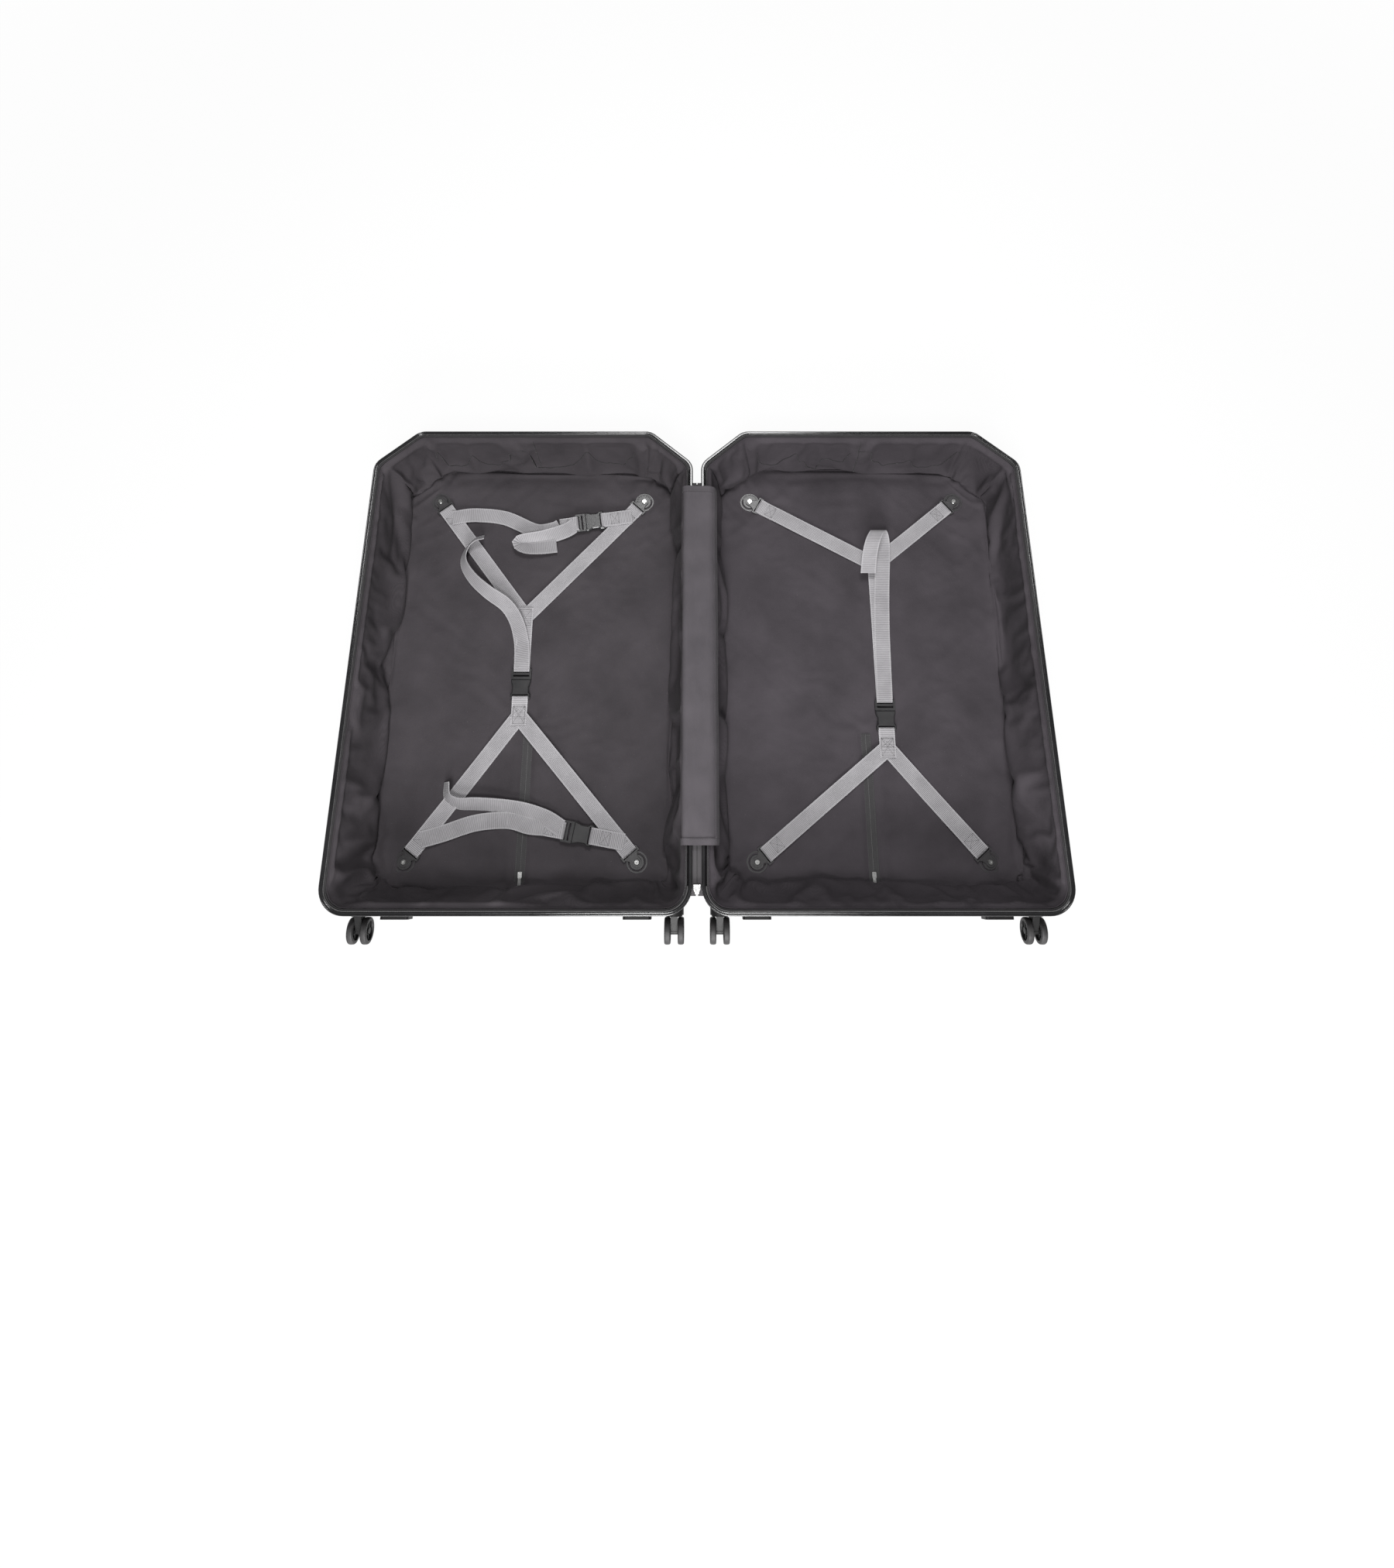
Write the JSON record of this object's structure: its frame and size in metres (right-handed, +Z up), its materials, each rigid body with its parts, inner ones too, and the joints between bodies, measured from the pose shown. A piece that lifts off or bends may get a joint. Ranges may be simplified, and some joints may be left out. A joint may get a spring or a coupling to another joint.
{
  "type": "bicycle travel case",
  "caption": "Hard-shell bicycle travel case lying open like a book: two lined trays with strap harnesses, a fabric hinge, rim zip, swivel casters and folding handles.",
  "frame": {"origin": "centre of the open case's bounding box, at the level of the floor it lies on", "axes": "+X across the two halves from the base to the lid, +Y towards the end with the cut corners, +Z up out of the open trays"},
  "size_m": [1.606, 1.199, 0.1668],
  "materials": {
    "shell_plastic": "satin black polycarbonate",
    "edge_trim": "soft black trim",
    "zip_tape": "woven tape with a nylon coil",
    "zip_metal": "bright nickel",
    "lining": "charcoal polyester",
    "rivet_metal": "bright tubular rivets",
    "anchor_plastic": "moulded grey",
    "webbing": "ribbed grey webbing",
    "buckle_plastic": "moulded mid grey",
    "tyre": "grey tyre on a dark spoked hub",
    "caster_plastic": "moulded black",
    "handle_rubber": "soft black grip",
    "handle_plastic": "moulded black"
  },
  "bodies": {
    "base": {"base_shell": "shell_plastic", "base_edge_trim": "edge_trim", "base_zip_tape": "zip_tape", "base_liner": "lining", "base_liner_zip": "zip_tape", "base_anchor_discs": "anchor_plastic", "base_anchor_rivets": "rivet_metal", "base_strap_upper": "webbing", "base_strap_lower": "webbing", "base_buckle_socket": "buckle_plastic", "base_caster_housings": "caster_plastic", "handle_brackets": "handle_plastic", "tie_strap_far": "webbing", "tie_strap_near": "webbing", "tie_socket_far": "buckle_plastic", "tie_socket_near": "buckle_plastic", "hinge_gusset": "lining", "hinge_flap": "lining", "zip_slider": "zip_metal"},
    "lid": {"lid_shell": "shell_plastic", "lid_edge_trim": "edge_trim", "lid_zip_tape": "zip_tape", "lid_liner": "lining", "lid_liner_zip": "zip_tape", "lid_anchor_discs": "anchor_plastic", "lid_anchor_rivets": "rivet_metal", "lid_strap_upper": "webbing", "lid_strap_lower": "webbing", "lid_buckle_socket": "buckle_plastic", "lid_caster_housings": "caster_plastic"},
    "base_anchor_loop_far_outer": {"base_anchor_loop_far_outer": "anchor_plastic"},
    "base_anchor_loop_far_hinge": {"base_anchor_loop_far_hinge": "anchor_plastic"},
    "base_anchor_loop_near_outer": {"base_anchor_loop_near_outer": "anchor_plastic"},
    "base_anchor_loop_near_hinge": {"base_anchor_loop_near_hinge": "anchor_plastic"},
    "base_caster_fork_outer": {"base_caster_fork_outer": "caster_plastic"},
    "base_caster_wheel_outer_a": {"base_caster_wheel_outer_a": "tyre"},
    "base_caster_wheel_outer_b": {"base_caster_wheel_outer_b": "tyre"},
    "base_caster_fork_hinge": {"base_caster_fork_hinge": "caster_plastic"},
    "base_caster_wheel_hinge_a": {"base_caster_wheel_hinge_a": "tyre"},
    "base_caster_wheel_hinge_b": {"base_caster_wheel_hinge_b": "tyre"},
    "base_buckle_plug": {"base_buckle_plug": "buckle_plastic"},
    "base_liner_zip_slider": {"base_liner_zip_slider": "zip_metal"},
    "lid_anchor_loop_far_outer": {"lid_anchor_loop_far_outer": "anchor_plastic"},
    "lid_anchor_loop_far_hinge": {"lid_anchor_loop_far_hinge": "anchor_plastic"},
    "lid_anchor_loop_near_outer": {"lid_anchor_loop_near_outer": "anchor_plastic"},
    "lid_anchor_loop_near_hinge": {"lid_anchor_loop_near_hinge": "anchor_plastic"},
    "lid_caster_fork_outer": {"lid_caster_fork_outer": "caster_plastic"},
    "lid_caster_wheel_outer_a": {"lid_caster_wheel_outer_a": "tyre"},
    "lid_caster_wheel_outer_b": {"lid_caster_wheel_outer_b": "tyre"},
    "lid_caster_fork_hinge": {"lid_caster_fork_hinge": "caster_plastic"},
    "lid_caster_wheel_hinge_a": {"lid_caster_wheel_hinge_a": "tyre"},
    "lid_caster_wheel_hinge_b": {"lid_caster_wheel_hinge_b": "tyre"},
    "lid_buckle_plug": {"lid_buckle_plug": "buckle_plastic"},
    "lid_liner_zip_slider": {"lid_liner_zip_slider": "zip_metal"},
    "tie_plug_far": {"tie_plug_far": "buckle_plastic"},
    "tie_plug_near": {"tie_plug_near": "buckle_plastic"},
    "carry_handle_top": {"carry_handle_top": "handle_rubber"},
    "carry_handle_side": {"carry_handle_side": "handle_rubber"},
    "zip_pull": {"zip_pull": "zip_metal"}
  },
  "joints": [
    {"name": "lid_hinge", "type": "hinge", "parent": "base", "child": "lid", "pos_m": [0.003, 0, 0.165], "axis": [0, -1, 0], "range_deg": [0, 180], "deforming": ["hinge_gusset", "hinge_flap"]},
    {"name": "base_loop_turn_far_outer", "type": "hinge", "parent": "base", "child": "base_anchor_loop_far_outer", "pos_m": [-0.669, 0.4645, 0.0143], "axis": [0, 0, 1], "range_deg": [-20, 20], "deforming": ["base_strap_upper", "tie_strap_far"]},
    {"name": "base_loop_turn_far_hinge", "type": "hinge", "parent": "base", "child": "base_anchor_loop_far_hinge", "pos_m": [-0.135, 0.4645, 0.0143], "axis": [0, 0, 1], "range_deg": [-20, 20], "deforming": ["base_strap_upper", "tie_strap_far"]},
    {"name": "base_loop_turn_near_outer", "type": "hinge", "parent": "base", "child": "base_anchor_loop_near_outer", "pos_m": [-0.669, -0.4295, 0.0143], "axis": [0, 0, 1], "range_deg": [-20, 20], "deforming": ["base_strap_lower", "tie_strap_near"]},
    {"name": "base_loop_turn_near_hinge", "type": "hinge", "parent": "base", "child": "base_anchor_loop_near_hinge", "pos_m": [-0.135, -0.4295, 0.0143], "axis": [0, 0, 1], "range_deg": [-20, 20], "deforming": ["base_strap_lower", "tie_strap_near"]},
    {"name": "base_caster_swivel_outer", "type": "hinge", "parent": "base", "child": "base_caster_fork_outer", "pos_m": [-0.737, -0.5385, 0.065], "axis": [0, 1, 0], "continuous": true},
    {"name": "base_wheel_spin_outer_a", "type": "hinge", "parent": "base_caster_fork_outer", "child": "base_caster_wheel_outer_a", "pos_m": [-0.75175, -0.5715, 0.052], "axis": [1, 0, 0], "continuous": true},
    {"name": "base_wheel_spin_outer_b", "type": "hinge", "parent": "base_caster_fork_outer", "child": "base_caster_wheel_outer_b", "pos_m": [-0.72225, -0.5715, 0.052], "axis": [1, 0, 0], "continuous": true},
    {"name": "base_caster_swivel_hinge", "type": "hinge", "parent": "base", "child": "base_caster_fork_hinge", "pos_m": [-0.047, -0.5385, 0.065], "axis": [0, 1, 0], "continuous": true},
    {"name": "base_wheel_spin_hinge_a", "type": "hinge", "parent": "base_caster_fork_hinge", "child": "base_caster_wheel_hinge_a", "pos_m": [-0.06175, -0.5715, 0.052], "axis": [1, 0, 0], "continuous": true},
    {"name": "base_wheel_spin_hinge_b", "type": "hinge", "parent": "base_caster_fork_hinge", "child": "base_caster_wheel_hinge_b", "pos_m": [-0.03225, -0.5715, 0.052], "axis": [1, 0, 0], "continuous": true},
    {"name": "base_buckle_release", "type": "slide", "parent": "base", "child": "base_buckle_plug", "axis": [0, 1, 0], "range_m": [0, 0.03], "deforming": ["base_strap_upper"]},
    {"name": "base_liner_zip_travel", "type": "slide", "parent": "base", "child": "base_liner_zip_slider", "axis": [0, 1, 0], "range_m": [0, 0.3]},
    {"name": "lid_loop_turn_far_outer", "type": "hinge", "parent": "lid", "child": "lid_anchor_loop_far_outer", "pos_m": [0.675, 0.4645, 0.0143], "axis": [0, 0, 1], "range_deg": [-20, 20], "deforming": ["lid_strap_upper"]},
    {"name": "lid_loop_turn_far_hinge", "type": "hinge", "parent": "lid", "child": "lid_anchor_loop_far_hinge", "pos_m": [0.141, 0.4645, 0.0143], "axis": [0, 0, 1], "range_deg": [-20, 20], "deforming": ["lid_strap_upper"]},
    {"name": "lid_loop_turn_near_outer", "type": "hinge", "parent": "lid", "child": "lid_anchor_loop_near_outer", "pos_m": [0.675, -0.4295, 0.0143], "axis": [0, 0, 1], "range_deg": [-20, 20], "deforming": ["lid_strap_lower"]},
    {"name": "lid_loop_turn_near_hinge", "type": "hinge", "parent": "lid", "child": "lid_anchor_loop_near_hinge", "pos_m": [0.141, -0.4295, 0.0143], "axis": [0, 0, 1], "range_deg": [-20, 20], "deforming": ["lid_strap_lower"]},
    {"name": "lid_caster_swivel_outer", "type": "hinge", "parent": "lid", "child": "lid_caster_fork_outer", "pos_m": [0.743, -0.5385, 0.065], "axis": [0, 1, 0], "continuous": true},
    {"name": "lid_wheel_spin_outer_a", "type": "hinge", "parent": "lid_caster_fork_outer", "child": "lid_caster_wheel_outer_a", "pos_m": [0.75775, -0.5715, 0.052], "axis": [1, 0, 0], "continuous": true},
    {"name": "lid_wheel_spin_outer_b", "type": "hinge", "parent": "lid_caster_fork_outer", "child": "lid_caster_wheel_outer_b", "pos_m": [0.72825, -0.5715, 0.052], "axis": [1, 0, 0], "continuous": true},
    {"name": "lid_caster_swivel_hinge", "type": "hinge", "parent": "lid", "child": "lid_caster_fork_hinge", "pos_m": [0.053, -0.5385, 0.065], "axis": [0, 1, 0], "continuous": true},
    {"name": "lid_wheel_spin_hinge_a", "type": "hinge", "parent": "lid_caster_fork_hinge", "child": "lid_caster_wheel_hinge_a", "pos_m": [0.06775, -0.5715, 0.052], "axis": [1, 0, 0], "continuous": true},
    {"name": "lid_wheel_spin_hinge_b", "type": "hinge", "parent": "lid_caster_fork_hinge", "child": "lid_caster_wheel_hinge_b", "pos_m": [0.03825, -0.5715, 0.052], "axis": [1, 0, 0], "continuous": true},
    {"name": "lid_buckle_release", "type": "slide", "parent": "lid", "child": "lid_buckle_plug", "axis": [0, 1, 0], "range_m": [0, 0.03], "deforming": ["lid_strap_upper"]},
    {"name": "lid_liner_zip_travel", "type": "slide", "parent": "lid", "child": "lid_liner_zip_slider", "axis": [0, 1, 0], "range_m": [0, 0.3]},
    {"name": "tie_release_far", "type": "slide", "parent": "base", "child": "tie_plug_far", "axis": [-0.9891, -0.147, 0], "range_m": [0, 0.03], "deforming": ["tie_strap_far"]},
    {"name": "tie_release_near", "type": "slide", "parent": "base", "child": "tie_plug_near", "axis": [-0.9847, 0.1744, 0], "range_m": [0, 0.03], "deforming": ["tie_strap_near"]},
    {"name": "top_handle_lift", "type": "hinge", "parent": "base", "child": "carry_handle_top", "pos_m": [-0.402, 0.5925, 0.12], "axis": [1, 0, 0], "range_deg": [0, 90]},
    {"name": "side_handle_lift", "type": "hinge", "parent": "base", "child": "carry_handle_side", "pos_m": [-0.796, 0.0285, 0.12], "axis": [0, 1, 0], "range_deg": [0, 90]},
    {"name": "zip_pull_swing", "type": "hinge", "parent": "base", "child": "zip_pull", "pos_m": [0.003, -0.495, 0.15875], "axis": [-1, 0, 0], "range_deg": [0, 100]}
  ]
}
